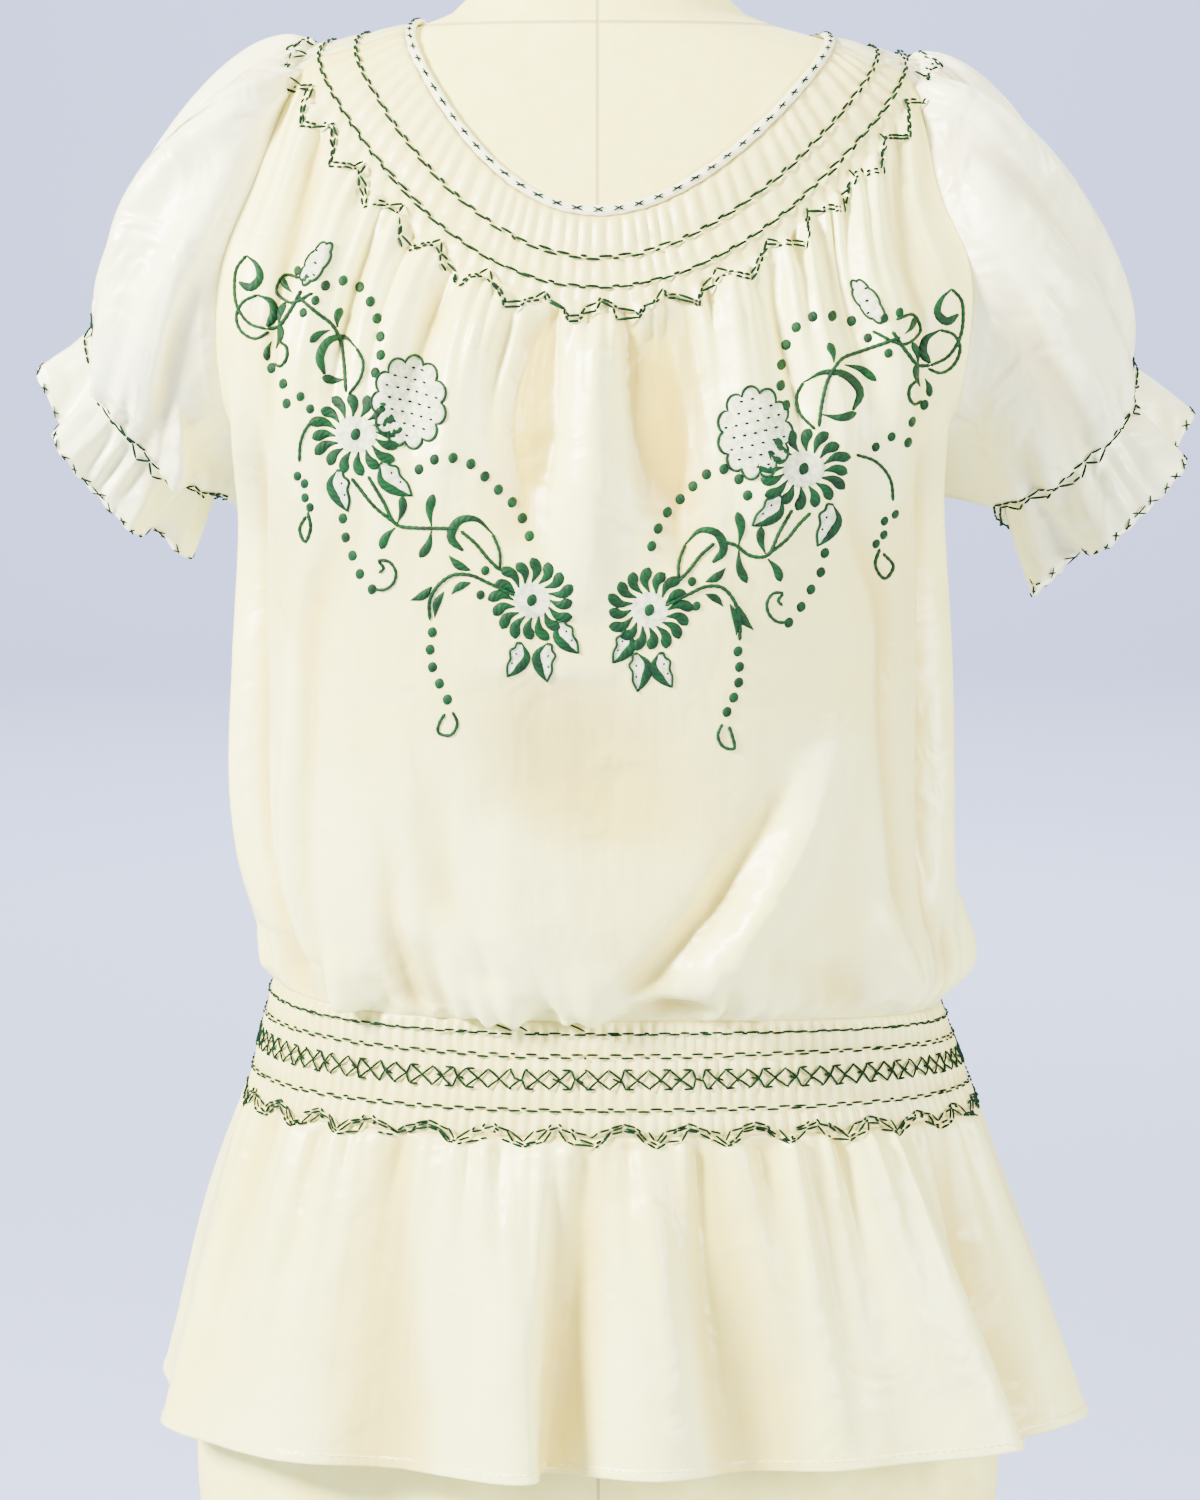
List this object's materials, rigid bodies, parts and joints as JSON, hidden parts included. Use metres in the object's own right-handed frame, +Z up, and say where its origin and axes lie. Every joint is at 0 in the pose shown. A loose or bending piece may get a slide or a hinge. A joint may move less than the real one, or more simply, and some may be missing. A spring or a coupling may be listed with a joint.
{
  "type": "embroidered folk blouse on a dress form",
  "caption": "Short-sleeved peasant blouse with a smocked scoop neck and waistband, puffed sleeves and a peplum, on a plain dress form with a round stand.",
  "frame": {"origin": "centre of the stand's round underside, on the floor", "axes": "+Z up; -Y is the wearer's front; -X is the wearer's right, at the left of the front view"},
  "size_m": [0.5003, 0.3272, 0.9712],
  "materials": {
    "satin": "satin, ivory, with dark green thread",
    "linen": "plain woven, cream",
    "stand": "satin black"
  },
  "bodies": {
    "root": {"bodice_front": "satin", "bodice_back": "satin", "sleeve_left": "satin", "sleeve_right": "satin", "waistband": "satin", "peplum_front": "satin", "peplum_back": "satin", "neck_binding": "satin", "form_torso": "linen", "form_pole": "stand", "form_base": "stand"}
  },
  "joints": []
}
